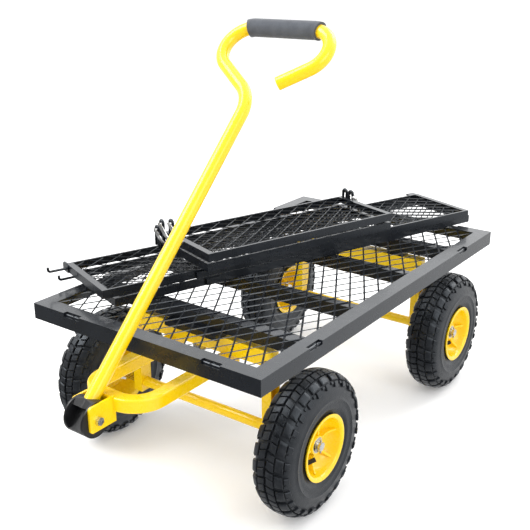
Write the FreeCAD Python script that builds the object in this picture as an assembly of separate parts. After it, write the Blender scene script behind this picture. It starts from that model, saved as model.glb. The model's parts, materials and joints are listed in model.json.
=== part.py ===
"""Garden cart: steel load bed on four pneumatic wheels, steered by a folding pull handle.

Millimetres. The origin is the centre of the load bed on its top plane. X is to the right,
Y towards the rear and Z up; the pull handle is at the -Y end.
"""

import FreeCAD, Part
import math
import os

V = FreeCAD.Vector

# Load bed
BED_WIDTH = 510.0
BED_LENGTH = 885.0
RAIL_LEG = 30.0
RAIL_THICK = 3.0
MESH_THICK = 2.0
MESH_STRAND = 2.8
MESH_HALF_X = 15.5
MESH_HALF_Y = 26.645
PANEL_MESH_HALF_X = 14.5
PANEL_MESH_HALF_Y = 20.0
BEAM_HEIGHT = 30.0
CROSS_HEIGHT = 25.0
CROSS_WIDE = 26.0
CROSS_NARROW = 20.0
CROSS_FRONT_Y = -281.0
CROSS_REAR_Y = 289.5
CROSS_MIDDLE_Y = 106.0

# Rod sockets that the side panels hook into
SOCKET_LENGTH = 38.0
SOCKET_DEPTH = 7.0
SOCKET_ROD_R = 3.2
SOCKET_PLATE = 2.0
SOCKET_POCKET = 10.0
SOCKET_POCKET_DROP = 11.0
SOCKET_END_X = 157.0
SOCKET_SIDE_Y = 290.0

# Running gear
GROUND_Z = -326.0
TYRE_R = 130.0
AXLE_Z = GROUND_Z + TYRE_R
FRONT_AXLE_Y = -276.5
REAR_AXLE_Y = 289.5
FRONT_TRACK_HALF = 234.0
REAR_TRACK_HALF = 223.0
ROD_R = 7.95
BORE_R = 8.0
AXLE_TUBE_R = 10.0
BEAM_HALF = 165.0
BEAM_TOP_Z = -41.0
BEAM_DEPTH = 27.0
BEAM_WALL = 2.5
POST_WEB = 3.0
POST_FLANGE = 20.0
POST_BOTTOM_Z = -214.0
HUB_HALF = 20.0
WASHER_THICK = 2.0
WASHER_R = 11.0
NUT_FLAT = 24.0
NUT_THICK = 10.0
PIN_R = 1.6
PIN_HALF = 13.0

# Turntable
PLATE_THICK = 5.3
PLATE_GAP = 0.4
PLATE_HALF_X = 60.0
PLATE_HALF_Y = 28.0
KINGPIN_R = 8.0
KINGPIN_BORE_R = 8.06
HEX_FLAT = 17.0
KINGPIN_HEAD = 9.0
SPACER_X = 100.0
SPACER_HALF = 20.0
BEAM_BOLT_R = 4.0

# Tyre and rim
TYRE_HALF_WIDTH = 37.5
BEAD_R = 51.0
RIM_FLANGE_R = 61.0
RIM_HALF = 37.0
RIM_WALL = 2.0
HUB_R = 17.0
VALVE_R = 4.0
VALVE_CLOCK = 213.0
VALVE_BASE_X = 12.0
VALVE_TIP_X = 29.0
VALVE_TIP_R = 25.0

# Drawbar and clevis
BAR = 25.0
BAR_WALL = 2.0
BAR_EDGE_R = 4.0
DRAWBAR_HALF = 64.0
DRAWBAR_BEND_R = 48.0
DRAWBAR_FRONT_Y = -521.0
DRAWBAR_REAR_Y = -263.0
DRAWBAR_Z = -83.5
HITCH_X = -8.0
HITCH_Y = -553.0
HITCH_Z = -97.5
CLEVIS_PLATE = 4.0
CLEVIS_GAP = 44.0
CLEVIS_TOP_Z = -69.0
CLEVIS_BOTTOM_Z = -115.0
CLEVIS_FRONT_Y = -571.0
CLEVIS_FRONT_LEFT_Y = -560.0
CLEVIS_BACK_Y = -515.0
CLEVIS_CORNER_R = 6.0
BOLT_R = 4.5
BOLT_FLAT = 13.0
SLEEVE_R = 7.0

# Handle
HANDLE_LEAN = 44.77
HANDLE_TUBE_R = 12.5
HANDLE_WALL = 2.0
HANDLE_OFFSET = 8.5
KNUCKLE_R = 30.5
KNUCKLE_SIDE_GAP = 0.4
NOTCH_VALLEY = 22.3
NOTCH_HALF = 19.5
POCKET_FLOOR = 9.5
POCKET_HALF = 15.0
POCKET_END = 6.0
GRIP_R = 17.2
HANDLE_PATH = [(13.0, -9.0, 0.0), (628.0, -9.0, 75.0), (783.0, -228.0, 50.0), (789.0, 203.0, 48.0),
               (663.0, 34.0, 0.0)]

# Side panels, stacked on the bed: name, centre x, centre y, turn, length, width, lowest z
PANEL_BAR = 16.0
PANEL_SHEET = 2.0
PANEL_LIP = 4.0
PANEL_END_LIP = 12.0
HOOK_BAR_R = 2.5
ARCH_BAR_R = 3.0
HOOK_REACH = 34.0
HOOK_CURL_R = 5.0
HINGE_BLOCK_X = 247.0
HINGE_BLOCK_HALF = 16.0

# Arched latch hooks of the short panels: end, place across, crown height
ARCH_GAP_HALF = 6.0
ARCH_FOOT_HALF = 8.0
ARCH_HOOKS = {
    "short_lower": [(-1, 98.0, 90.0), (-1, 78.0, 107.0), (1, 58.0, 98.0)],
    "short_upper": [(-1, 42.0, 118.0), (1, 78.0, 98.0)],
}

PANELS = [
    ("long_lower", -43.0, 76.0, 70.4, 900.0, 170.0, 4.0),
    ("long_upper", -42.0, 53.0, 69.3, 900.0, 170.0, 24.0),
    ("short_lower", -27.0, 15.0, 70.6, 452.0, 165.0, 44.0),
    ("short_upper", -25.0, 14.0, 71.0, 452.0, 165.0, 64.0),
]


def box(x0, x1, y0, y1, z0, z1):
    """Axis-aligned block between the stated limits."""
    return Part.makeBox(x1 - x0, y1 - y0, z1 - z0, V(x0, y0, z0))


def rod(radius, start, end):
    """Solid cylinder from one point to another."""
    axis = end - start
    return Part.makeCylinder(radius, axis.Length, start, axis)


def tube(outer, inner, start, end):
    """Cylinder with a concentric bore right through."""
    return rod(outer, start, end).cut(rod(inner, start, end))


def polygon(points):
    """Closed polygon face through the points."""
    return Part.Face(Part.makePolygon(points + [points[0]]))


def hex_prism(flat, centre, axis, height):
    """Hexagonal head or nut, its base centred at the point and standing along the axis."""
    radius = flat / math.sqrt(3.0)
    corners = []
    for k in range(6):
        turn = math.radians(60.0 * k)
        corners.append(V(radius * math.cos(turn), radius * math.sin(turn), 0))
    prism = polygon(corners).extrude(V(0, 0, height))
    prism.Placement = FreeCAD.Placement(centre, FreeCAD.Rotation(V(0, 0, 1), axis))
    return prism


def revolve(profile, centre):
    """Full turn about the X line through the centre of a profile of (x, radius) points."""
    points = [V(centre.x + x, centre.y, centre.z + radius) for x, radius in profile]
    return polygon(points).revolve(centre, V(1, 0, 0), 360)


def angle_frame(length, width, leg, lip, end_lip, thick, top_z):
    """Four mitred angle bars: front, rear, left and right, lips inward along the top."""
    half_x = width / 2.0
    half_y = length / 2.0
    bars = []
    for along_x, sign in ((True, -1), (True, 1), (False, -1), (False, 1)):
        run = half_x if along_x else half_y
        reach = half_y if along_x else half_x
        across = end_lip if along_x else lip
        section = polygon([V(0, 0, top_z), V(0, across, top_z), V(0, across, top_z - thick),
                           V(0, thick, top_z - thick), V(0, thick, top_z - leg), V(0, 0, top_z - leg)])
        bar = section.extrude(V(2 * run, 0, 0))
        bar.translate(V(-run, -reach, 0))
        other = lip if along_x else end_lip
        slope = other / across
        depth = 2.0 * leg
        cutter = polygon([V(-run, -reach, 0), V(run, -reach, 0), V(run - slope * depth, depth - reach, 0),
                          V(slope * depth - run, depth - reach, 0)]).extrude(V(0, 0, 3 * leg))
        cutter.translate(V(0, 0, top_z - 2 * leg))
        bar = bar.common(cutter)
        turn = {(True, -1): 0, (True, 1): 180, (False, -1): 270, (False, 1): 90}[(along_x, sign)]
        bar.rotate(V(0, 0, 0), V(0, 0, 1), turn)
        bars.append(bar)
    return bars


def diamond_sheet(half_x, half_y, top_z, cell_x, cell_y):
    """Expanded mesh: one sheet pierced by staggered diamonds."""
    outline = Part.makePolygon([V(-half_x, -half_y, 0), V(half_x, -half_y, 0), V(half_x, half_y, 0),
                                V(-half_x, half_y, 0), V(-half_x, -half_y, 0)])
    inset = 0.5 * MESH_STRAND * math.hypot(cell_x, cell_y) / (cell_x * cell_y)
    dx = cell_x * (1.0 - inset)
    dy = cell_y * (1.0 - inset)
    holes = []
    columns = int(half_x / cell_x) + 1
    rows = int(half_y / cell_y) + 1
    for i in range(-columns, columns + 1):
        for j in range(-rows, rows):
            x = i * cell_x
            y = (j + 0.5) * cell_y
            if (i + j) % 2 or abs(x) + dx > half_x - 1.0 or abs(y) + dy > half_y - 1.0:
                continue
            holes.append(Part.makePolygon([V(x - dx, y, 0), V(x, y + dy, 0), V(x + dx, y, 0),
                                           V(x, y - dy, 0), V(x - dx, y, 0)]))
    sheet = Part.Face([outline] + holes).extrude(V(0, 0, -MESH_THICK))
    sheet.translate(V(0, 0, top_z))
    return sheet


def square_section(size, wall, edge_r, centre, along_y):
    """Rounded square outline pair (outer wire, inner wire) standing across X or across Y."""
    wires = []
    for half, radius in ((size / 2.0, edge_r), (size / 2.0 - wall, max(edge_r - wall, 0.5))):
        block = box(-half, half, -half, half, -half, half)
        side = V(0, 1, 0) if along_y else V(1, 0, 0)
        edges = [e for e in block.Edges if abs(e.tangentAt(e.FirstParameter).dot(side)) > 0.99]
        rounded = block.makeFillet(radius, edges)
        face = [f for f in rounded.Faces if f.normalAt(0, 0).dot(side) > 0.99][0]
        wire = face.OuterWire.copy()
        wire.translate(centre - side * half)
        wires.append(wire)
    return wires


def swept(path, wires):
    """Hollow bar: the outer outline swept along the path less the inner one."""
    solids = [path.makePipeShell([wire], True, False) for wire in wires]
    return solids[0].cut(solids[1])


def rounded_path(points, radii):
    """Straight runs through the points joined by arcs of the stated radii."""
    edges = []
    start = points[0]
    for k in range(1, len(points) - 1):
        back = (points[k - 1] - points[k]).normalize()
        ahead = (points[k + 1] - points[k]).normalize()
        half = back.getAngle(ahead) / 2.0
        reach = radii[k] / math.tan(half)
        first = points[k] + back * reach
        last = points[k] + ahead * reach
        to_centre = (back + ahead).normalize()
        middle = points[k] + to_centre * (radii[k] / math.sin(half) - radii[k])
        edges.append(Part.makeLine(start, first))
        edges.append(Part.Arc(first, middle, last).toShape())
        start = last
    edges.append(Part.makeLine(start, points[-1]))
    return Part.Wire(edges)


def socket_places():
    """Centre, run direction and inward direction of every rod socket on the bed rails."""
    places = []
    for sign in (-1, 1):
        for side in (-1, 1):
            places.append((V(side * SOCKET_END_X, sign * BED_LENGTH / 2, 0), V(1, 0, 0), V(0, -sign, 0)))
            places.append((V(sign * BED_WIDTH / 2, side * SOCKET_SIDE_Y, 0), V(0, 1, 0), V(-sign, 0, 0)))
    return places


def oriented_block(centre, run, inward, run0, run1, in0, in1, z0, z1):
    """Block given along a rail's run, inward from its face and in height."""
    a = centre + run * run0 + inward * in0
    b = centre + run * run1 + inward * in1
    return box(min(a.x, b.x), max(a.x, b.x), min(a.y, b.y), max(a.y, b.y), z0, z1)


def bed_parts(nodes):
    """Rails, mesh, cross-members and rod sockets."""
    rails = angle_frame(BED_LENGTH, BED_WIDTH, RAIL_LEG, RAIL_LEG, RAIL_LEG, RAIL_THICK, 0.0)
    rods = []
    plates = []
    inset = RAIL_THICK + SOCKET_ROD_R
    for centre, run, inward in socket_places():
        half = SOCKET_LENGTH / 2
        notch = oriented_block(centre, run, inward, -half, half, 0, inset + 2, -SOCKET_DEPTH, 0)
        rails = [rail.cut(notch) for rail in rails]
        axis = centre + inward * inset + V(0, 0, -inset)
        bar = rod(SOCKET_ROD_R, axis - run * (half + SOCKET_PLATE), axis + run * (half + SOCKET_PLATE))
        rods.append(bar)
        outer = half + SOCKET_PLATE
        back = RAIL_THICK + SOCKET_POCKET
        low = -RAIL_THICK - SOCKET_POCKET_DROP
        pocket = oriented_block(centre, run, inward, -outer, outer, RAIL_THICK, back, low, -RAIL_THICK)
        space = oriented_block(centre, run, inward, -half, half, RAIL_THICK, back - SOCKET_PLATE, low,
                               -RAIL_THICK)
        plates.append(pocket.cut(space).cut(bar))
    for k, rail in enumerate(rails):
        touching = [plate for plate in plates if rail.distToShape(plate)[0] < 0.001]
        rails[k] = rail.fuse(touching).removeSplitter()
    names = ("bed_rail_front", "bed_rail_rear", "bed_rail_left", "bed_rail_right")
    nodes.update(zip(names, rails))
    nodes["bed_socket_rods"] = rods
    half_x = BED_WIDTH / 2 - RAIL_THICK
    half_y = BED_LENGTH / 2 - RAIL_THICK
    sheet = diamond_sheet(half_x, half_y, -RAIL_THICK, MESH_HALF_X, MESH_HALF_Y)
    outer = SOCKET_LENGTH / 2 + SOCKET_PLATE
    pockets = [oriented_block(centre, run, inward, -outer, outer, 0, RAIL_THICK + SOCKET_POCKET,
                              -RAIL_THICK - SOCKET_POCKET_DROP, 0)
               for centre, run, inward in socket_places()]
    nodes["bed_mesh"] = sheet.cut(pockets)
    top = -RAIL_THICK - MESH_THICK
    for name, y in (("cross_member_front", CROSS_FRONT_Y), ("cross_member_rear", CROSS_REAR_Y)):
        half = CROSS_WIDE / 2
        outer = box(-half_x, half_x, y - half, y + half, top - CROSS_HEIGHT, top)
        hollow = box(-half_x, half_x, y - half + RAIL_THICK, y + half - RAIL_THICK, top - CROSS_HEIGHT,
                     top - RAIL_THICK)
        nodes[name] = outer.cut([hollow] + pockets)
    middle = []
    for y in (-CROSS_MIDDLE_Y, CROSS_MIDDLE_Y):
        half = CROSS_NARROW / 2
        outer = box(-half_x, half_x, y - half, y + half, top - CROSS_HEIGHT, top)
        hollow = box(-half_x, half_x, y - half + RAIL_THICK, y + half, top - CROSS_HEIGHT, top - RAIL_THICK)
        middle.append(outer.cut(hollow))
    nodes["cross_members_middle"] = middle


def axle_parts(nodes, end, y, track):
    """Beam, posts, axle tube, rod, nuts, washers and pins of one end."""
    beam_bottom = BEAM_TOP_Z - BEAM_HEIGHT
    half = BEAM_DEPTH / 2
    beam = box(-BEAM_HALF, BEAM_HALF, y - half, y + half, beam_bottom, BEAM_TOP_Z)
    ends = [e for e in beam.Edges if abs(e.tangentAt(e.FirstParameter).z) > 0.99]
    beam = beam.makeFillet(6.0, ends)
    inner = box(-BEAM_HALF + BEAM_WALL, BEAM_HALF - BEAM_WALL, y - half + BEAM_WALL, y + half - BEAM_WALL,
                beam_bottom + BEAM_WALL, BEAM_TOP_Z - BEAM_WALL)
    beam = beam.cut(inner)
    if end == "front":
        beam = beam.cut(rod(KINGPIN_BORE_R, V(0, CROSS_FRONT_Y, beam_bottom),
                            V(0, CROSS_FRONT_Y, BEAM_TOP_Z)))
    nodes["%s_beam" % end] = beam
    posts = []
    fasteners = []
    pins = []
    reach = track + HUB_HALF + WASHER_THICK + 0.8
    web_in = BEAM_HALF - POST_FLANGE
    for side in (-1, 1):
        near = web_in if side > 0 else -web_in - POST_WEB
        post = box(near, near + POST_WEB, y - half, y + half, POST_BOTTOM_Z, beam_bottom)
        for edge in (-1, 1):
            x0 = BEAM_HALF - POST_FLANGE if side > 0 else -BEAM_HALF
            y0 = y + half - POST_WEB if edge > 0 else y - half
            post = post.fuse(box(x0, x0 + POST_FLANGE, y0, y0 + POST_WEB, POST_BOTTOM_Z, beam_bottom))
        post = post.removeSplitter().cut(rod(ROD_R, V(-BEAM_HALF, y, AXLE_Z), V(BEAM_HALF, y, AXLE_Z)))
        posts.append(post)
        hub_in = track - HUB_HALF - 0.4
        nut = hex_prism(NUT_FLAT, V(side * hub_in, y, AXLE_Z), V(-side, 0, 0), NUT_THICK)
        fasteners.append(nut.cut(rod(ROD_R, V(side * BEAM_HALF, y, AXLE_Z), V(side * hub_in, y, AXLE_Z))))
        hub_out = track + HUB_HALF + 0.4
        pin_x = hub_out + WASHER_THICK + 3.0
        pin = rod(PIN_R, V(side * pin_x, y, AXLE_Z - PIN_HALF), V(side * pin_x, y, AXLE_Z + PIN_HALF))
        pins.append(pin)
        fasteners.append(tube(WASHER_R, ROD_R, V(side * hub_out, y, AXLE_Z),
                              V(side * (hub_out + WASHER_THICK), y, AXLE_Z)))
    nodes["%s_posts" % end] = posts
    nodes["%s_axle_tube" % end] = tube(AXLE_TUBE_R, ROD_R, V(-web_in, y, AXLE_Z), V(web_in, y, AXLE_Z))
    axle = rod(ROD_R, V(-reach - 6, y, AXLE_Z), V(reach + 6, y, AXLE_Z))
    for pin in pins:
        axle = axle.cut(pin)
    nodes["%s_axle_rod" % end] = axle
    nodes["%s_axle_nuts_washers" % end] = fasteners
    nodes["%s_axle_cotter_pins" % end] = pins


def turntable_parts(nodes):
    """Swivel plates, kingpin and the rear spacers."""
    y = CROSS_FRONT_Y
    under = -RAIL_THICK - MESH_THICK - CROSS_HEIGHT
    upper = box(-PLATE_HALF_X, PLATE_HALF_X, y - PLATE_HALF_Y, y + PLATE_HALF_Y, under - PLATE_THICK, under)
    lower_top = under - PLATE_THICK - PLATE_GAP
    lower = box(-PLATE_HALF_X, PLATE_HALF_X, y - PLATE_HALF_Y, y + PLATE_HALF_Y, BEAM_TOP_Z, lower_top)
    axis_top = V(0, y, under)
    nut_z = BEAM_TOP_Z - BEAM_HEIGHT - PLATE_GAP
    shank = rod(KINGPIN_R, V(0, y, nut_z - 14), axis_top)
    nodes["turntable_plate_upper"] = upper.cut(rod(KINGPIN_R, V(0, y, under - PLATE_THICK), axis_top))
    nodes["turntable_plate_lower"] = lower.cut(rod(KINGPIN_BORE_R, V(0, y, BEAM_TOP_Z), V(0, y, lower_top)))
    nodes["kingpin"] = shank.fuse(hex_prism(HEX_FLAT, axis_top, V(0, 0, 1), KINGPIN_HEAD)).removeSplitter()
    nut_base = V(0, y, nut_z - KINGPIN_HEAD)
    nut = hex_prism(NUT_FLAT, nut_base, V(0, 0, 1), KINGPIN_HEAD)
    nodes["kingpin_nut"] = nut.cut(rod(KINGPIN_R, nut_base, V(0, y, nut_z)))
    spacers = []
    bolts = []
    half = BEAM_DEPTH / 2
    for x in (-SPACER_X, SPACER_X):
        spacer = box(x - SPACER_HALF, x + SPACER_HALF, REAR_AXLE_Y - half, REAR_AXLE_Y + half, BEAM_TOP_Z,
                     under)
        bolt = rod(BEAM_BOLT_R, V(x, REAR_AXLE_Y, BEAM_TOP_Z - BEAM_WALL), V(x, REAR_AXLE_Y, under))
        head = hex_prism(BOLT_FLAT, V(x, REAR_AXLE_Y, under), V(0, 0, 1), 6.0)
        nodes["rear_beam"] = nodes["rear_beam"].cut(bolt)
        spacers.append(spacer.cut(bolt))
        bolts.append(bolt.fuse(head).removeSplitter())
    nodes["rear_spacers"] = spacers
    nodes["rear_beam_bolts"] = bolts


def wheel_parts(nodes, name, x, y, side):
    """Tyre, rim with hub, bearings and valve; side is +1 where the open dish faces +X."""
    centre = V(x, y, AXLE_Z)
    shell = [(-24, BEAD_R + 1), (-31, BEAD_R + 1), (-32, 59), (-35.5, 72), (-TYRE_HALF_WIDTH, 88), (-36, 104),
             (-32, 116), (-25, 124), (-13, 128.6), (-4, TYRE_R), (-3, TYRE_R - 5), (3, TYRE_R - 5), (4, TYRE_R),
             (13, 128.6), (25, 124), (32, 116), (36, 104), (TYRE_HALF_WIDTH, 88), (35.5, 72), (32, 59),
             (31, BEAD_R + 1), (24, BEAD_R + 1), (26, 60), (30, 72), (32, 88), (30.5, 102), (26, 112),
             (18, 118.5), (0, 120), (-18, 118.5), (-26, 112), (-30.5, 102), (-32, 88), (-30, 72), (-26, 60)]
    nodes["%s_tyre" % name] = revolve(shell, centre)
    wall = RIM_WALL
    well = BEAD_R - 8
    dish = [(-RIM_HALF, RIM_FLANGE_R), (-RIM_HALF + wall, RIM_FLANGE_R), (-32.8, BEAD_R + 1), (-20, BEAD_R),
            (-15, well), (15, well), (20, BEAD_R), (32.8, BEAD_R + 1), (RIM_HALF - wall, RIM_FLANGE_R),
            (RIM_HALF, RIM_FLANGE_R), (RIM_HALF, RIM_FLANGE_R - 3), (34.5, BEAD_R - 1), (21, BEAD_R - wall),
            (16, well - wall), (9, well - wall), (5, 30), (5, HUB_R), (HUB_HALF, HUB_R), (HUB_HALF, 14),
            (-HUB_HALF, 14), (-HUB_HALF, HUB_R), (3, HUB_R), (3, 30), (7, well - wall), (-16, well - wall),
            (-21, BEAD_R - wall), (-34.5, BEAD_R - 1), (-RIM_HALF, RIM_FLANGE_R - 3)]
    rim = revolve([(side * a, r) for a, r in dish], centre)
    clock = math.radians(VALVE_CLOCK)
    outward = V(0, math.cos(clock), math.sin(clock))
    valve = rod(VALVE_R, centre + outward * (well + 1) + V(side * VALVE_BASE_X, 0, 0),
                centre + outward * VALVE_TIP_R + V(side * VALVE_TIP_X, 0, 0))
    nodes["%s_rim" % name] = rim.cut(valve)
    nodes["%s_valve" % name] = valve
    rings = []
    for end in (-1, 1):
        outer_end = centre + V(end * HUB_HALF, 0, 0)
        rings.append(tube(14.0, BORE_R, outer_end - V(end * 12, 0, 0), outer_end))
    nodes["%s_bearings" % name] = rings


def drawbar_parts(nodes):
    """U-shaped square tube under the front beam and the clevis at its nose."""
    front = DRAWBAR_FRONT_Y + BAR / 2
    corners = [V(-DRAWBAR_HALF, DRAWBAR_REAR_Y, DRAWBAR_Z), V(-DRAWBAR_HALF, front, DRAWBAR_Z),
               V(DRAWBAR_HALF, front, DRAWBAR_Z), V(DRAWBAR_HALF, DRAWBAR_REAR_Y, DRAWBAR_Z)]
    path = rounded_path(corners, [0, DRAWBAR_BEND_R, DRAWBAR_BEND_R, 0])
    wires = square_section(BAR, BAR_WALL, BAR_EDGE_R, corners[0], True)
    bar = swept(path, wires)
    filled = path.makePipeShell([wires[0]], True, False)
    nodes["drawbar"] = bar
    plates = []
    for side in (-1, 1):
        x0 = HITCH_X + side * CLEVIS_GAP / 2
        x1 = x0 + side * CLEVIS_PLATE
        nose_y = CLEVIS_FRONT_Y if side > 0 else CLEVIS_FRONT_LEFT_Y
        plate = box(min(x0, x1), max(x0, x1), nose_y, CLEVIS_BACK_Y, CLEVIS_BOTTOM_Z, CLEVIS_TOP_Z)
        nose = [e for e in plate.Edges if abs(e.tangentAt(e.FirstParameter).x) > 0.99
                and e.CenterOfMass.y < nose_y + 1]
        plate = plate.makeFillet(CLEVIS_CORNER_R, nose)
        plate = plate.cut(filled)
        bolt_hole = rod(BOLT_R, V(HITCH_X - 40, HITCH_Y, HITCH_Z), V(HITCH_X + 40, HITCH_Y, HITCH_Z))
        plates.append(plate.cut(bolt_hole))
    nodes["clevis_plates"] = plates
    outer = CLEVIS_GAP / 2 + CLEVIS_PLATE
    shank = rod(BOLT_R, V(HITCH_X - outer - 11, HITCH_Y, HITCH_Z), V(HITCH_X + outer, HITCH_Y, HITCH_Z))
    head = hex_prism(BOLT_FLAT, V(HITCH_X + outer, HITCH_Y, HITCH_Z), V(1, 0, 0), 5.4)
    nodes["clevis_bolt"] = shank.fuse(head).removeSplitter()
    nut = hex_prism(BOLT_FLAT, V(HITCH_X - outer, HITCH_Y, HITCH_Z), V(-1, 0, 0), 8.0)
    nodes["clevis_nut"] = nut.cut(rod(BOLT_R, V(HITCH_X - outer - 8, HITCH_Y, HITCH_Z),
                                      V(HITCH_X - outer, HITCH_Y, HITCH_Z)))


def handle_point(along, across, out=HANDLE_OFFSET):
    """Point in the handle's own plane: along the shaft, across to the right and out of it."""
    lean = math.radians(HANDLE_LEAN)
    shaft = V(0, math.cos(lean), math.sin(lean))
    normal = V(0, -math.sin(lean), math.cos(lean))
    return V(across, HITCH_Y, HITCH_Z) + shaft * along + normal * out


def handle_parts(nodes):
    """Bent tube handle, foam grip, plastic knuckle and its pivot sleeve."""
    points = [handle_point(a, b) for a, b, r in HANDLE_PATH]
    path = rounded_path(points, [r for a, b, r in HANDLE_PATH])
    shaft = (points[1] - points[0]).normalize()
    wires = [Part.Wire(Part.makeCircle(radius, points[0], shaft))
             for radius in (HANDLE_TUBE_R, HANDLE_TUBE_R - HANDLE_WALL)]
    nodes["handle_tube"] = swept(path, wires)
    grip = grip_solid(path)
    nodes["handle_grip"] = grip
    half = CLEVIS_GAP / 2 - KNUCKLE_SIDE_GAP
    left = V(HITCH_X - half, HITCH_Y, HITCH_Z)
    right = V(HITCH_X + half, HITCH_Y, HITCH_Z)
    knuckle = rod(KNUCKLE_R, left, right)
    outline = [(-NOTCH_HALF, KNUCKLE_R + 2), (-NOTCH_HALF + 2, NOTCH_VALLEY + 3), (-1.5, NOTCH_VALLEY),
               (1.5, NOTCH_VALLEY), (NOTCH_HALF - 2, NOTCH_VALLEY + 3), (NOTCH_HALF, KNUCKLE_R + 2)]
    notch = polygon([handle_point(-45, HITCH_X + x, out) for x, out in outline]).extrude(shaft * 90)
    outline = [(-NOTCH_HALF + 1, KNUCKLE_R + 2), (-POCKET_HALF, POCKET_FLOOR), (POCKET_HALF, POCKET_FLOOR),
               (NOTCH_HALF - 1, KNUCKLE_R + 2)]
    pocket = polygon([handle_point(-45, HITCH_X + x, out) for x, out in outline])
    pocket = pocket.extrude(shaft * (45 + POCKET_END))
    socket = rod(HANDLE_TUBE_R, points[0], points[0] + shaft * 60)
    nodes["handle_knuckle"] = knuckle.cut([notch, pocket]).cut(socket).cut(rod(SLEEVE_R, left, right))
    nodes["handle_pivot_sleeve"] = tube(SLEEVE_R, BOLT_R + 0.06, left, right)


def grip_solid(path):
    """Foam sleeve: the part of the grip-sized pipe along the tube within the covered length."""
    edges = path.OrderedEdges
    first_bend = edges[3]
    last_bend = edges[5]
    span = first_bend.LastParameter - first_bend.FirstParameter
    start_arc = first_bend.Curve.toShape(first_bend.LastParameter - 0.12 * span, first_bend.LastParameter)
    span = last_bend.LastParameter - last_bend.FirstParameter
    end_arc = last_bend.Curve.toShape(last_bend.FirstParameter, last_bend.FirstParameter + 0.10 * span)
    line = Part.makeLine(start_arc.valueAt(start_arc.LastParameter), end_arc.valueAt(end_arc.FirstParameter))
    run = Part.Wire([start_arc, line, end_arc])
    begin = start_arc.valueAt(start_arc.FirstParameter)
    heading = start_arc.tangentAt(start_arc.FirstParameter)
    wires = [Part.Wire(Part.makeCircle(radius, begin, heading)) for radius in (GRIP_R, HANDLE_TUBE_R)]
    return swept(run, wires)


def arch_hook(x, y, base_z, crown_z):
    """Upside-down U of round bar standing across the panel's end."""
    turn_z = crown_z - ARCH_GAP_HALF - ARCH_BAR_R
    ring = Part.makeTorus(ARCH_GAP_HALF, ARCH_BAR_R, V(x, y, turn_z), V(1, 0, 0))
    wide = ARCH_GAP_HALF + ARCH_BAR_R + 1
    hook = ring.common(box(x - wide, x + wide, y - wide, y + wide, turn_z, crown_z + 1))
    for side in (-1, 1):
        foot = V(x, y + side * ARCH_GAP_HALF, base_z)
        hook = hook.fuse(rod(ARCH_BAR_R, foot, foot + V(0, 0, turn_z - base_z)))
    return hook


def long_hooks(half_l, half_w, base_z):
    """Curled hook, corner lug, end tab and hinge block of a long panel lying along X."""
    middle = base_z + PANEL_BAR / 2
    top = base_z + PANEL_BAR
    y = half_w - 7
    tip = -half_l - HOOK_REACH
    curl_z = middle + HOOK_CURL_R
    curl = Part.makeTorus(HOOK_CURL_R, HOOK_BAR_R, V(tip, y, curl_z), V(0, 1, 0))
    curl = curl.common(box(tip - 2 * HOOK_CURL_R, tip, y - 5, y + 5, middle - 5, curl_z))
    bar = rod(HOOK_BAR_R, V(-half_l, y, middle), V(tip, y, middle))
    point = rod(HOOK_BAR_R, V(tip - HOOK_CURL_R, y, curl_z), V(tip - HOOK_CURL_R, y, curl_z + 4))
    lug = box(-half_l - 2.5, -half_l, half_w - 12, half_w + 12, base_z, top + 3)
    crown = [e for e in lug.Edges if abs(e.tangentAt(e.FirstParameter).x) > 0.99 and e.CenterOfMass.z > top]
    lug = lug.makeFillet(9.0, crown)
    tab = box(half_l - 24, half_l - 2, half_w, half_w + 14, middle + 4, top)
    block = box(-HINGE_BLOCK_X - HINGE_BLOCK_HALF, -HINGE_BLOCK_X + HINGE_BLOCK_HALF, -half_w - 5, -half_w,
                base_z + 1, top - 3)
    return [bar.fuse([curl, point, lug]).removeSplitter(), tab, block]


def short_hooks(half_l, half_w, base_z, places):
    """Arched latch hooks at the ends and a hinge pin on the far bar of a short panel along X."""
    pieces = []
    stand = ARCH_BAR_R + 3.5
    for end, across, crown_z in places:
        hook = arch_hook(end * (half_l + stand), across, base_z + 3, crown_z)
        near, far = sorted((end * half_l, end * (half_l + stand)))
        inner = min(across, half_w) - ARCH_FOOT_HALF
        foot = box(near, far, inner, across + ARCH_FOOT_HALF, base_z + 2, base_z + 10)
        pieces.append(hook.fuse(foot).removeSplitter())
    pieces.append(rod(4.0, V(27, half_w + 4, base_z + 9), V(49, half_w + 4, base_z + 9)))
    return pieces


def panel_parts(nodes):
    """Four mesh side panels lying one on another across the bed."""
    for name, cx, cy, turn, length, width, low in PANELS:
        top = low + PANEL_BAR
        bars = angle_frame(length, width, PANEL_BAR, PANEL_LIP, PANEL_END_LIP, PANEL_SHEET, top)
        half_w = width / 2 - PANEL_SHEET
        half_l = length / 2 - PANEL_SHEET
        sheet = diamond_sheet(half_w, half_l, top - PANEL_SHEET, PANEL_MESH_HALF_X, PANEL_MESH_HALF_Y)
        for shape in bars + [sheet]:
            shape.rotate(V(0, 0, 0), V(0, 0, 1), -90)
        if name.startswith("long"):
            hooks = long_hooks(length / 2, width / 2, low)
        else:
            hooks = short_hooks(length / 2, width / 2, low, ARCH_HOOKS[name])
        shapes = {"frame": bars + hooks, "mesh": [sheet]}
        for kind, group in shapes.items():
            for shape in group:
                shape.rotate(V(0, 0, 0), V(0, 0, 1), turn)
                shape.translate(V(cx, cy, 0))
            nodes["panel_%s_%s" % (name, kind)] = group


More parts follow.
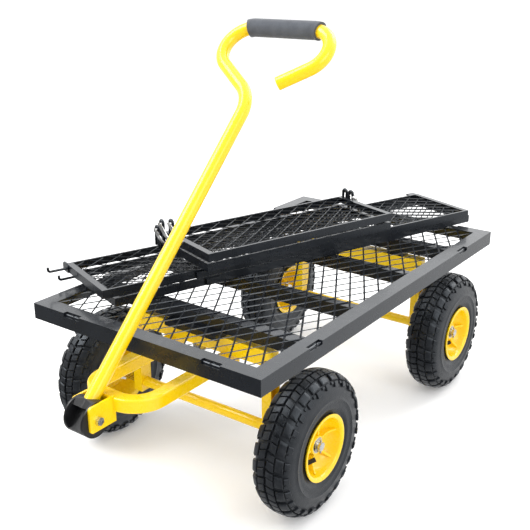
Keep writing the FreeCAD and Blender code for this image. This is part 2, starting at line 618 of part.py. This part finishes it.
def main():
    """Build every node and write one STEP file for each."""
    nodes = {}
    bed_parts(nodes)
    axle_parts(nodes, "front", FRONT_AXLE_Y, FRONT_TRACK_HALF)
    axle_parts(nodes, "rear", REAR_AXLE_Y, REAR_TRACK_HALF)
    turntable_parts(nodes)
    for end, y, track in (("front", FRONT_AXLE_Y, FRONT_TRACK_HALF), ("rear", REAR_AXLE_Y, REAR_TRACK_HALF)):
        for side, hand in ((-1, "left"), (1, "right")):
            wheel_parts(nodes, "wheel_%s_%s" % (end, hand), side * track, y, side)
    drawbar_parts(nodes)
    handle_parts(nodes)
    panel_parts(nodes)
    os.makedirs("parts", exist_ok=True)
    for name, shape in nodes.items():
        group = Part.makeCompound(shape) if isinstance(shape, list) else shape
        group.exportStep("parts/%s.step" % name)


main()
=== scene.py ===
"""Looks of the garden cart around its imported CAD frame."""
import bmesh
import bpy
import json
import math
from mathutils import Euler, Matrix, Vector


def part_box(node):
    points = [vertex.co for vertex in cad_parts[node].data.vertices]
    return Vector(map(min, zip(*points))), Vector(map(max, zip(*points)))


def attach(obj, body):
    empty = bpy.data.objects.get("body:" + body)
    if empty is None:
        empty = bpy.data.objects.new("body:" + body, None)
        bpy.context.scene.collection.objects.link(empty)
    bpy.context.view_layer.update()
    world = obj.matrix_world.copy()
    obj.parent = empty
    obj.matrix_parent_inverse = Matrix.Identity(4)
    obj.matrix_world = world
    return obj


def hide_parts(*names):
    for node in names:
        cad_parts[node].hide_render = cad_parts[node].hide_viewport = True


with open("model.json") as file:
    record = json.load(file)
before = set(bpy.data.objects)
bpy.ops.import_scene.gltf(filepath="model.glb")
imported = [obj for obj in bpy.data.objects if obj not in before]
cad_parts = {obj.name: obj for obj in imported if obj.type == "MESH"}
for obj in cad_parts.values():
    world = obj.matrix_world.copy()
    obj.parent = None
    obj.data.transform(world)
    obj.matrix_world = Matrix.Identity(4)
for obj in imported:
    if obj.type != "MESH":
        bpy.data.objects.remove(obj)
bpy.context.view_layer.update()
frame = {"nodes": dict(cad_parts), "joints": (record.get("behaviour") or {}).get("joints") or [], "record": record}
scene = bpy.context.scene
NODES = frame["nodes"]
WHEELS = ("front_left", "front_right", "rear_left", "rear_right")
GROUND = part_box("wheel_front_right_tyre")[0][2]


def box_centre(node):
    """Centre of a CAD node's box."""
    low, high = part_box(node)
    return (low + high) / 2


# ---------------------------------------------------------------- materials
def new_material(name):
    """Empty node material: returns (material, nodes, links, principled shader, object coordinates)."""
    mat = bpy.data.materials.new(name)
    mat.use_nodes = True
    nodes, links = mat.node_tree.nodes, mat.node_tree.links
    shader = nodes["Principled BSDF"]
    coords = nodes.new("ShaderNodeTexCoord")
    return mat, nodes, links, shader, coords.outputs["Object"]


def noise(nodes, links, vector, scale, detail=4.0, rough=0.55):
    """Noise texture node fed by a vector."""
    node = nodes.new("ShaderNodeTexNoise")
    node.inputs["Scale"].default_value = scale
    node.inputs["Detail"].default_value = detail
    node.inputs["Roughness"].default_value = rough
    links.new(vector, node.inputs["Vector"])
    return node.outputs["Fac"]


def ramp(nodes, links, fac, stops):
    """Colour ramp from (position, colour) stops."""
    node = nodes.new("ShaderNodeValToRGB")
    while len(node.color_ramp.elements) < len(stops):
        node.color_ramp.elements.new(0.5)
    for element, (pos, colour) in zip(node.color_ramp.elements, stops):
        element.position = pos
        element.color = (*colour, 1.0)
    links.new(fac, node.inputs["Fac"])
    return node.outputs["Color"]


def grey(value):
    """Neutral colour."""
    return (value, value, value)


def bump(nodes, links, height, strength, distance, below=None):
    """Bump node, optionally over another bump's normal."""
    node = nodes.new("ShaderNodeBump")
    node.inputs["Strength"].default_value = strength
    node.inputs["Distance"].default_value = distance
    links.new(height, node.inputs["Height"])
    if below is not None:
        links.new(below, node.inputs["Normal"])
    return node.outputs["Normal"]


def powder_coat(name, dark, light, rough, coat):
    """Powder-coated steel: orange peel, slow colour drift and fine dust."""
    mat, nodes, links, shader, at = new_material(name)
    drift = noise(nodes, links, at, 9.0, 3.0)
    links.new(ramp(nodes, links, drift, [(0.3, dark), (0.7, light)]), shader.inputs["Base Color"])
    haze = noise(nodes, links, at, 60.0, 5.0, 0.65)
    links.new(ramp(nodes, links, haze, [(0.3, grey(rough - 0.03)), (0.75, grey(rough + 0.05))]),
              shader.inputs["Roughness"])
    peel = bump(nodes, links, noise(nodes, links, at, 700.0, 2.0), 0.10, 0.0004)
    waves = bump(nodes, links, noise(nodes, links, at, 120.0, 2.0), 0.06, 0.0008, peel)
    links.new(waves, shader.inputs["Normal"])
    shader.inputs["Coat Weight"].default_value = coat
    shader.inputs["Coat Roughness"].default_value = 0.07
    shader.inputs["Specular IOR Level"].default_value = 0.5
    return mat


def plated_metal(name, dark, light):
    """Zinc plate with fine grain and mottling."""
    mat, nodes, links, shader, at = new_material(name)
    mottle = noise(nodes, links, at, 140.0, 5.0, 0.6)
    links.new(ramp(nodes, links, mottle, [(0.3, dark), (0.7, light)]), shader.inputs["Base Color"])
    links.new(ramp(nodes, links, mottle, [(0.2, grey(0.20)), (0.8, grey(0.36))]), shader.inputs["Roughness"])
    links.new(bump(nodes, links, noise(nodes, links, at, 900.0, 3.0), 0.15, 0.0003), shader.inputs["Normal"])
    shader.inputs["Metallic"].default_value = 1.0
    return mat


def rubber(name, dark, light, rough, grain, depth):
    """Moulded rubber or plastic: speckled grain with dusty patches."""
    mat, nodes, links, shader, at = new_material(name)
    dust = noise(nodes, links, at, 30.0, 6.0, 0.7)
    links.new(ramp(nodes, links, dust, [(0.35, dark), (0.72, light)]), shader.inputs["Base Color"])
    links.new(ramp(nodes, links, dust, [(0.3, grey(rough - 0.08)), (0.7, grey(rough + 0.1))]),
              shader.inputs["Roughness"])
    fine = bump(nodes, links, noise(nodes, links, at, grain, 3.0, 0.7), 0.35, depth)
    links.new(bump(nodes, links, noise(nodes, links, at, grain * 0.12, 4.0), 0.25, depth * 2, fine),
              shader.inputs["Normal"])
    shader.inputs["Specular IOR Level"].default_value = 0.45
    return mat


def foam(name, dark, light):
    """Closed-cell foam: pitted skin with soft sheen."""
    mat, nodes, links, shader, at = new_material(name)
    cells = nodes.new("ShaderNodeTexVoronoi")
    cells.inputs["Scale"].default_value = 650.0
    links.new(at, cells.inputs["Vector"])
    wear = noise(nodes, links, at, 45.0, 5.0, 0.7)
    links.new(ramp(nodes, links, wear, [(0.3, dark), (0.75, light)]), shader.inputs["Base Color"])
    pits = bump(nodes, links, cells.outputs["Distance"], 0.5, 0.0005)
    skin = bump(nodes, links, noise(nodes, links, at, 90.0, 4.0), 0.35, 0.0009, pits)
    links.new(skin, shader.inputs["Normal"])
    shader.inputs["Roughness"].default_value = 0.78
    shader.inputs["Sheen Weight"].default_value = 0.25
    return mat


BLACK = powder_coat("black_powder_coat", (0.0035, 0.0042, 0.0060), (0.008, 0.0095, 0.013), 0.28, 0.25)
YELLOW = powder_coat("yellow_powder_coat", (0.86, 0.56, 0.001), (0.92, 0.61, 0.002), 0.27, 0.35)
ZINC = plated_metal("zinc_plate", (0.50, 0.51, 0.52), (0.82, 0.82, 0.80))
TYRE = rubber("tyre_rubber", (0.006, 0.0068, 0.0085), (0.022, 0.023, 0.026), 0.33, 450.0, 0.0012)
KNUCKLE = rubber("knuckle_plastic", (0.004, 0.004, 0.0045), (0.009, 0.009, 0.010), 0.36, 1200.0, 0.0002)
VALVE = rubber("valve_rubber", (0.008, 0.008, 0.009), (0.02, 0.02, 0.021), 0.6, 1500.0, 0.0002)
FOAM = foam("grip_foam", (0.040, 0.046, 0.058), (0.075, 0.084, 0.100))
COOL_SHINE = (0.82, 0.91, 1.0, 1.0)
for material in (BLACK, TYRE):
    material.node_tree.nodes["Principled BSDF"].inputs["Specular Tint"].default_value = COOL_SHINE
SLOT_MATERIAL = {"black_coat": BLACK, "yellow_coat": YELLOW, "zinc": ZINC, "tyre_rubber": TYRE,
                 "grip_foam": FOAM, "knuckle_plastic": KNUCKLE, "valve_rubber": VALVE}
SLOT_OF = {part["node"]: part["material_slot"] for part in frame["record"]["subparts"]}


# ---------------------------------------------------------------- mesh helpers
def add_object(name, verts, faces, body, slot, smooth=True):
    """Mesh object from lists, with its slot's material, riding on a CAD body."""
    mesh = bpy.data.meshes.new(name)
    mesh.from_pydata([tuple(v) for v in verts], [], faces)
    mesh.validate()
    bm = bmesh.new()
    bm.from_mesh(mesh)
    bmesh.ops.recalc_face_normals(bm, faces=bm.faces)
    bm.to_mesh(mesh)
    bm.free()
    for poly in mesh.polygons:
        poly.use_smooth = smooth
    obj = bpy.data.objects.new(name, mesh)
    scene.collection.objects.link(obj)
    mesh.materials.append(SLOT_MATERIAL[slot])
    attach(obj, body)
    return obj


def bevel(obj, width):
    """Rounded edges with the flat faces' shading kept flat."""
    mod = obj.modifiers.new("edge_round", "BEVEL")
    mod.width = width
    mod.segments = 2
    mod.limit_method = "ANGLE"
    mod.angle_limit = math.radians(35.0)
    mod.harden_normals = True


def shade_by_angle(mesh, degrees):
    """Smooth shading with sharp edges kept above the angle."""
    bm = bmesh.new()
    bm.from_mesh(mesh)
    for edge in bm.edges:
        edge.smooth = len(edge.link_faces) == 2 and edge.calc_face_angle(0.0) < math.radians(degrees)
    bm.to_mesh(mesh)
    bm.free()


for node_name, node in NODES.items():
    node.data.materials.clear()
    node.data.materials.append(SLOT_MATERIAL[SLOT_OF[node_name]])

# ---------------------------------------------------------------- tyres
TREAD = 0.0048
PITCHES = 26
TYRE_AROUND = 136
BEAD_INNER = (0.029, 0.052)
RIDGES_AT = (8.0, 9.5, 10.0)
# Half section from the crown to the bead: (distance from the middle plane, radius).
CARCASS = [(0.0, 0.1250), (0.007, 0.1248), (0.014, 0.1238), (0.0208, 0.1214), (0.0265, 0.1174),
           (0.0309, 0.1117), (0.0340, 0.1037), (0.0356, 0.0950), (0.0362, 0.0870), (0.0355, 0.0780),
           (0.0338, 0.0700), (0.0322, 0.0640), (0.0312, 0.0595)]


def carcass_point(s):
    """Point and outward normal of the section at s, 0 at the crown and 12 at the bead, by Catmull-Rom."""
    last = len(CARCASS) - 1
    s = min(max(s, 0.0), last - 1e-6)
    k = int(s)
    t = s - k
    p = [CARCASS[max(k - 1, 0)], CARCASS[k], CARCASS[k + 1], CARCASS[min(k + 2, last)]]
    if k == 0:
        p[0] = (-CARCASS[1][0], CARCASS[1][1])
    out, slope = [], []
    for a, b, c, d in zip(*p):
        square = 2 * a - 5 * b + 4 * c - d
        cube = 3 * b - a - 3 * c + d
        out.append(0.5 * (2 * b + (c - a) * t + square * t * t + cube * t ** 3))
        slope.append(0.5 * ((c - a) + 2 * square * t + 3 * cube * t * t))
    length = math.hypot(*slope)
    return out, (-slope[1] / length, slope[0] / length)


def tyre_vertex(s, side, turn, height):
    """Tyre surface point: section position, side, angle round the axle and height over the carcass."""
    (x, r), (nx, nr) = carcass_point(s)
    x, r = x + nx * height, r + nr * height
    return (side * x, r * math.cos(turn), r * math.sin(turn))


def tread_block(verts, faces, side, section, turns, skews, height, rows):
    """One raised block between two section positions and two angles, with chamfered top edges."""
    s0, s1 = section
    turn0, turn1 = turns
    skew0, skew1 = skews
    inset_s = (s1 - s0) * 0.07
    inset_t = (turn1 - turn0) * 0.07
    cols = 4
    base = len(verts)
    rings = [(s0, s1, turn0, turn1, -0.001), (s0, s1, turn0, turn1, height * 0.8),
             (s0 + inset_s, s1 - inset_s, turn0 + inset_t, turn1 - inset_t, height)]
    for a, b, t0, t1, h in rings:
        for i in range(rows + 1):
            s = a + (b - a) * i / rows
            lean = skew0 + (skew1 - skew0) * i / rows
            for j in range(cols + 1):
                verts.append(tyre_vertex(s, side, t0 + (t1 - t0) * j / cols + lean, h))
    size = (rows + 1) * (cols + 1)

    def at(ring, i, j):
        return base + ring * size + i * (cols + 1) + j

    for i in range(rows):
        for j in range(cols):
            faces.append((at(2, i, j), at(2, i + 1, j), at(2, i + 1, j + 1), at(2, i, j + 1)))
    loop = [(0, j) for j in range(cols)] + [(i, cols) for i in range(rows)]
    loop += [(rows, j) for j in range(cols, 0, -1)] + [(i, 0) for i in range(rows, 0, -1)]
    for ring in (0, 1):
        for k, (i, j) in enumerate(loop):
            i2, j2 = loop[(k + 1) % len(loop)]
            faces.append((at(ring, i, j), at(ring, i2, j2), at(ring + 1, i2, j2), at(ring + 1, i, j)))


def tyre_carcass(verts, faces):
    """Closed carcass with a fine groove at the crown and moulded ridges on the sidewalls."""
    stations = [k * 0.5 for k in range(2 * len(CARCASS) - 1)]
    section = [(s, -1) for s in reversed(stations[1:])] + [(s, 1) for s in stations]
    for k in range(TYRE_AROUND):
        turn = 2 * math.pi * k / TYRE_AROUND
        for s, side in section:
            groove = -0.0006 if s == 0.0 else 0.0
            ridge = 0.0013 if s in RIDGES_AT else 0.0
            verts.append(tyre_vertex(s, side, turn, groove + ridge))
        x, r = BEAD_INNER
        verts.append((x, r * math.cos(turn), r * math.sin(turn)))
        verts.append((-x, r * math.cos(turn), r * math.sin(turn)))
    width = len(section) + 2
    for k in range(TYRE_AROUND):
        a, b = k * width, ((k + 1) % TYRE_AROUND) * width
        for i in range(width):
            faces.append((a + i, a + (i + 1) % width, b + (i + 1) % width, b + i))


def tyre_shape():
    """Vertices and faces of a tyre about the X axis: carcass and rows of tread blocks."""
    verts, faces = [], []
    tyre_carcass(verts, faces)
    pitch = 2 * math.pi / PITCHES
    gap = pitch * 0.12
    mid = pitch * 0.5
    for side in (-1, 1):
        for k in range(PITCHES):
            turn = k * pitch + (0.5 * pitch if side < 0 else 0.0)
            for section, start, stop, skews, height, rows in (
                    ((0.22, 2.05), gap, mid - gap * 0.25, (0.0, 0.03), TREAD, 3),
                    ((0.36, 2.05), mid + gap * 0.25, pitch, (0.0, 0.03), TREAD, 3),
                    ((2.35, 4.05), gap + 0.012, pitch - gap, (0.03, 0.055), TREAD, 3),
                    ((4.3, 5.5), gap * 1.5 + 0.02, pitch * 0.66, (0.055, 0.07), TREAD * 0.8, 3),
                    ((4.3, 4.9), pitch * 0.76, pitch, (0.055, 0.062), TREAD * 0.6, 2)):
                tread_block(verts, faces, side, section, (turn + start, turn + stop), skews, height, rows)
    return verts, faces


# ---------------------------------------------------------------- rims
RIM_AROUND = 96
RIB_COUNT = 6
RIB_TURN = 14.0
WHEEL_CENTRE = {joint["child"]: Vector(joint["pos_m"]) for joint in frame["joints"]
                if joint["child"].startswith("wheel_")}
WHEEL_SPIN = {"front_left": 35, "front_right": 118, "rear_left": 80, "rear_right": 105}


def revolve_section(section, around, verts, faces):
    """Closed surface of revolution about X from (x, radius) points."""
    base = len(verts)
    count = len(section)
    for k in range(around):
        turn = 2 * math.pi * k / around
        for x, r in section:
            verts.append((x, r * math.cos(turn), r * math.sin(turn)))
    for k in range(around):
        a, b = base + k * count, base + ((k + 1) % around) * count
        for i in range(count):
            faces.append((a + i, a + (i + 1) % count, b + (i + 1) % count, b + i))


def box_rib(verts, faces, turn, x_top0, x_top1, x_low, r0, r1, half):
    """Radial rib: a thin wall from r0 to r1 whose top runs from x_top0 to x_top1."""
    base = len(verts)
    c, s = math.cos(turn), math.sin(turn)
    steps = 6
    for i in range(steps + 1):
        f = i / steps
        r = r0 + (r1 - r0) * f
        dip = 0.0045 * math.sin(math.pi * f)
        top = x_top0 + (x_top1 - x_top0) * f - dip
        for w, x in ((-half * 1.5, x_low), (-half, top - 0.0006), (-half * 0.4, top), (half * 0.4, top),
                     (half, top - 0.0006), (half * 1.5, x_low)):
            verts.append((x, r * c - w * s, r * s + w * c))
    for i in range(steps):
        for k in range(5):
            a = base + i * 6 + k
            faces.append((a, a + 1, a + 7, a + 6))
    faces.append(tuple(base + k for k in range(6)))
    faces.append(tuple(base + steps * 6 + k for k in range(5, -1, -1)))


def rim_shape():
    """Pressed and ribbed rim about the X axis, open dish towards +X."""
    verts, faces = [], []
    half = [(0.0362, 0.0606), (0.0368, 0.0594), (0.0368, 0.0578), (0.0362, 0.0556), (0.0352, 0.0540),
            (0.0338, 0.0528), (0.0318, 0.0520), (0.0270, 0.0508), (0.0210, 0.0488), (0.0150, 0.0455),
            (0.0100, 0.0405), (0.0070, 0.0340), (0.0058, 0.0270), (0.0060, 0.0215), (0.0080, 0.0190),
            (0.0120, 0.0180), (0.0185, 0.0174), (0.0198, 0.0166), (0.0200, 0.0142)]
    inner = [(-0.0200, 0.0142), (-0.0198, 0.0166), (-0.0185, 0.0174), (-0.0060, 0.0185), (-0.0020, 0.0215),
             (-0.0005, 0.0300), (0.0010, 0.0380), (-0.0060, 0.0432), (-0.0160, 0.0462), (-0.0215, 0.0488),
             (-0.0318, 0.0510), (-0.0348, 0.0534), (-0.0366, 0.0566), (-0.0368, 0.0594), (-0.0360, 0.0607)]
    back = [(-0.0340, 0.0600), (-0.0328, 0.0530), (-0.0200, 0.0512), (-0.0140, 0.0460), (0.0140, 0.0470),
            (0.0200, 0.0512), (0.0328, 0.0530), (0.0340, 0.0600)]
    revolve_section(half + inner + back, RIM_AROUND, verts, faces)
    for k in range(RIB_COUNT):
        turn = math.radians(360 / RIB_COUNT * k + RIB_TURN)
        box_rib(verts, faces, turn, 0.0180, 0.0270, 0.0050, 0.0180, 0.0495, 0.0021)
    return verts, faces


def wheel_object(name, shape, wheel, slot, smooth_angle):
    """Copies a wheel-centred shape to one wheel, dish outwards, in place of its CAD node."""
    side = 1 if wheel.endswith("right") else -1
    spin = Matrix.Rotation(math.radians(WHEEL_SPIN[wheel]), 4, "X")
    turn = Matrix.Rotation(0.0 if side > 0 else math.pi, 4, "Z")
    place = Matrix.Translation(WHEEL_CENTRE["wheel_%s" % wheel]) @ turn @ spin
    verts = [place @ Vector(v) for v in shape[0]]
    obj = add_object(name, verts, shape[1], "wheel_%s" % wheel, slot)
    shade_by_angle(obj.data, smooth_angle)
    return obj


TYRE_SHAPE = tyre_shape()
RIM_SHAPE = rim_shape()
for wheel in WHEELS:
    tyre = wheel_object("tyre_%s" % wheel, TYRE_SHAPE, wheel, "tyre_rubber", 38)
    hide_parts("wheel_%s_tyre" % wheel)
    rim = wheel_object("rim_%s" % wheel, RIM_SHAPE, wheel, "yellow_coat", 40)
    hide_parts("wheel_%s_rim" % wheel)


# ---------------------------------------------------------------- expanded mesh
STRAND_TILT = math.radians(28)
SHORTEST_CUT = 0.03


def strand(verts, faces, start, end, wide, thick):
    """One tilted strand of expanded sheet between two bonds, a little narrower midway."""
    along = (end - start).normalized()
    lean = Vector((math.cos(STRAND_TILT), 0.0, math.sin(STRAND_TILT)))
    lean = (lean - along * lean.dot(along)).normalized()
    face_up = along.cross(lean).normalized()
    base = len(verts)
    for point, width in ((start, wide), (start.lerp(end, 0.5), wide * 0.92), (end, wide)):
        for a, b in ((-1, -1), (1, -1), (1, 1), (-1, 1)):
            verts.append(point + lean * (a * width / 2) + face_up * (b * thick / 2))
    for i in range(2):
        for k in range(4):
            a, b = base + i * 4 + k, base + i * 4 + (k + 1) % 4
            faces.append((a, b, b + 4, a + 4))
    faces.append((base, base + 3, base + 2, base + 1))
    faces.append((base + 8, base + 9, base + 10, base + 11))


def clipped(a, b, half_x, half_y):
    """The part of segment a-b inside the rectangle, or None."""
    t0, t1 = 0.0, 1.0
    d = b - a
    for p, q in ((-d.x, a.x + half_x), (d.x, half_x - a.x), (-d.y, a.y + half_y), (d.y, half_y - a.y)):
        if abs(p) < 1e-12:
            if q < 0:
                return None
            continue
        r = q / p
        if p < 0:
            t0 = max(t0, r)
        else:
            t1 = min(t1, r)
    if t1 - t0 < SHORTEST_CUT:
        return None
    return a + d * t0, a + d * t1


def expanded_mesh(name, node, body, half_x, half_y, cell_x, cell_y, place, wide, thick):
    """Expanded sheet whose diamonds are long along local Y, in place of a CAD mesh node."""
    verts, faces = [], []
    columns = int(half_x / cell_x) + 2
    rows = int(half_y / cell_y) + 2
    for i in range(-columns, columns + 1):
        for j in range(-rows, rows + 1):
            if (i + j) % 2:
                continue
            low = Vector((i * cell_x, (j - 0.5) * cell_y, 0))
            for step in (-1, 1):
                high = low + Vector((step * cell_x, cell_y, 0))
                piece = clipped(low, high, half_x, half_y)
                if piece:
                    strand(verts, faces, piece[0], piece[1], wide, thick)
    verts = [place @ v for v in verts]
    obj = add_object(name, verts, faces, body, "black_coat", smooth=False)
    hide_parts(node)


low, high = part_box("bed_mesh")
expanded_mesh("bed_strands", "bed_mesh", "frame", (high[0] - low[0]) / 2, (high[1] - low[1]) / 2,
              0.0155, 0.026645, Matrix.Translation(box_centre("bed_mesh")), 0.0034, 0.0015)
# Each panel's heading in degrees, width and length.
PANELS = {"long_lower": (70.4, 0.170, 0.900), "long_upper": (69.3, 0.170, 0.900),
          "short_lower": (70.6, 0.165, 0.452), "short_upper": (71.0, 0.165, 0.452)}
FRAME_LAP = 0.002
for panel, (turn, width, length) in PANELS.items():
    node = "panel_%s_mesh" % panel
    place = Matrix.Translation(box_centre(node)) @ Matrix.Rotation(math.radians(turn - 90), 4, "Z")
    expanded_mesh("strands_%s" % panel, node, "panel_%s" % panel, width / 2 - FRAME_LAP,
                  length / 2 - FRAME_LAP, 0.0145, 0.0200, place, 0.0030, 0.0013)


# ---------------------------------------------------------------- latch wires of the short panels
LATCH_RADIUS = 0.0022
LATCH_HALF_GAP = 0.0045
WIRE_SIDE = Vector((0.31, 0.87, 0.38))


def wire(name, points, radius, body, slot):
    """Round wire through the points."""
    verts, faces = [], []
    around = 10
    for k, point in enumerate(points):
        ahead = (points[min(k + 1, len(points) - 1)] - points[max(k - 1, 0)]).normalized()
        side = ahead.cross(WIRE_SIDE).normalized()
        other = ahead.cross(side)
        for j in range(around):
            turn = 2 * math.pi * j / around
            verts.append(point + side * (radius * math.cos(turn)) + other * (radius * math.sin(turn)))
    for k in range(len(points) - 1):
        for j in range(around):
            a, b = k * around + j, k * around + (j + 1) % around
            faces.append((a, b, b + around, a + around))
    faces.append(tuple(range(around)))
    faces.append(tuple((len(points) - 1) * around + j for j in range(around - 1, -1, -1)))
    return add_object(name, verts, faces, body, slot)


def latch_wire(name, panel, end, across, top, foot_across, foot):
    """Zinc wire bail hanging from an arched hook of a panel down to the panel's end."""
    turn, width, length = PANELS[panel]
    centre = box_centre("panel_%s_mesh" % panel)
    place = Matrix.Translation(centre) @ Matrix.Rotation(math.radians(turn), 4, "Z")
    out = end * (length / 2 + 0.0105)
    inner = end * (length / 2 + 0.0050)
    for shift in (-LATCH_HALF_GAP, LATCH_HALF_GAP):
        line = [Vector((out, across + shift, top)), Vector((out, across + shift, top - 0.006)),
                Vector((out, (across + foot_across) / 2 + shift, (top + foot) / 2)),
                Vector((inner, foot_across + shift, foot + 0.004)),
                Vector((inner, foot_across + shift, foot))]
        points = [place @ Vector((p.x, p.y, p.z - centre.z)) for p in line]
        side = "near" if shift < 0 else "far"
        wire("latch_%s_%s_%s" % (panel, name, side), points, LATCH_RADIUS, "panel_%s" % panel, "zinc")


latch_wire("front", "short_lower", -1, 0.078, 0.101, 0.036, 0.058)
latch_wire("front_outer", "short_lower", -1, 0.098, 0.084, 0.064, 0.050)
latch_wire("front", "short_upper", -1, 0.042, 0.112, 0.008, 0.078)
latch_wire("rear", "short_lower", 1, 0.058, 0.094, 0.022, 0.058)
latch_wire("rear", "short_upper", 1, 0.078, 0.094, 0.046, 0.078)

# ---------------------------------------------------------------- edges of the CAD pieces
ROUND = {"bed_rail": 0.0013, "cross_member": 0.0007, "panel": 0.0009, "front_beam": 0.0015,
         "rear_beam": 0.0015, "front_posts": 0.0010, "rear_posts": 0.0010, "clevis": 0.0008,
         "turntable": 0.0008, "handle_knuckle": 0.0012, "kingpin": 0.0006, "front_axle": 0.0005,
         "rear_axle": 0.0005, "handle_grip": 0.0016, "handle_tube": 0.0006}
for node_name, node in NODES.items():
    for start, width in ROUND.items():
        if node_name.startswith(start) and not node_name.endswith("_mesh"):
            bevel(node, width)
            break

# ---------------------------------------------------------------- floor, light, camera
floor_mesh = bpy.data.meshes.new("floor")
reach = 30
floor_mesh.from_pydata([(-reach, -reach, GROUND), (reach, -reach, GROUND), (reach, reach, GROUND),
                        (-reach, reach, GROUND)], [], [(0, 1, 2, 3)])
floor = bpy.data.objects.new("floor", floor_mesh)
scene.collection.objects.link(floor)
floor_mat, fn, fl, floor_shader, floor_at = new_material("pale_floor")
fl.new(ramp(fn, fl, noise(fn, fl, floor_at, 2.0), [(0.3, grey(0.92)), (0.7, grey(0.94))]),
       floor_shader.inputs["Base Color"])
floor_shader.inputs["Roughness"].default_value = 0.9
floor_mesh.materials.append(floor_mat)
floor.visible_glossy = False
floor_shader.inputs["Specular IOR Level"].default_value = 0.0
floor_shader.inputs["Emission Color"].default_value = (1.0, 1.0, 1.0, 1.0)
floor_shader.inputs["Emission Strength"].default_value = 0.12

# Shiny surfaces see a studio that is darker towards the front and below than the plain pale world.
world = bpy.data.worlds.new("studio")
scene.world = world
world.use_nodes = True
wn, wl = world.node_tree.nodes, world.node_tree.links
background = wn["Background"]
background.inputs["Color"].default_value = (1.0, 1.0, 1.0, 1.0)
heading = wn.new("ShaderNodeSeparateXYZ")
wl.new(wn.new("ShaderNodeTexCoord").outputs["Generated"], heading.inputs["Vector"])


def world_range(axis, low, high, at_low, at_high):
    """Brightness that follows one axis of the direction."""
    node = wn.new("ShaderNodeMapRange")
    for socket, value in (("From Min", low), ("From Max", high), ("To Min", at_low), ("To Max", at_high)):
        node.inputs[socket].default_value = value
    wl.new(heading.outputs[axis], node.inputs["Value"])
    return node.outputs["Result"]


shade = wn.new("ShaderNodeMath")
shade.operation = "MULTIPLY"
wl.new(world_range("Z", -0.4, 0.8, 0.45, 1.15), shade.inputs[0])
wl.new(world_range("Y", -0.9, 0.8, 0.22, 2.10), shade.inputs[1])
seen = wn.new("ShaderNodeLightPath")
pick = wn.new("ShaderNodeMix")
pick.inputs["A"].default_value = 1.08
wl.new(seen.outputs["Is Glossy Ray"], pick.inputs["Factor"])
wl.new(shade.outputs["Value"], pick.inputs["B"])
wl.new(pick.outputs["Result"], background.inputs["Strength"])


def area_light(name, place, target, size, power):
    """Soft square light aimed at a point."""
    data = bpy.data.lights.new(name, "AREA")
    data.shape = "SQUARE"
    data.size = size
    data.energy = power
    lamp = bpy.data.objects.new(name, data)
    scene.collection.objects.link(lamp)
    lamp.location = place
    lamp.rotation_euler = (Vector(target) - Vector(place)).to_track_quat("-Z", "Y").to_euler()


area_light("key", (-1.7, -1.3, 2.4), (0, 0, 0), 1.8, 80.0)
area_light("side", (2.4, -0.9, 1.6), (0, 0, -0.1), 1.6, 22.0)
area_light("back", (0.6, 2.4, 2.3), (0, 0, 0), 2.0, 45.0)

camera = bpy.data.objects.new("camera", bpy.data.cameras.new("camera"))
scene.collection.objects.link(camera)
scene.camera = camera
camera.location = (0.9319, -1.3684, 0.6041)
camera.rotation_euler = Euler((math.radians(69.83), 0.0, math.radians(35.87)))
camera.data.lens = 58.66
camera.data.sensor_width = 36.0
scene.view_settings.view_transform = "Standard"
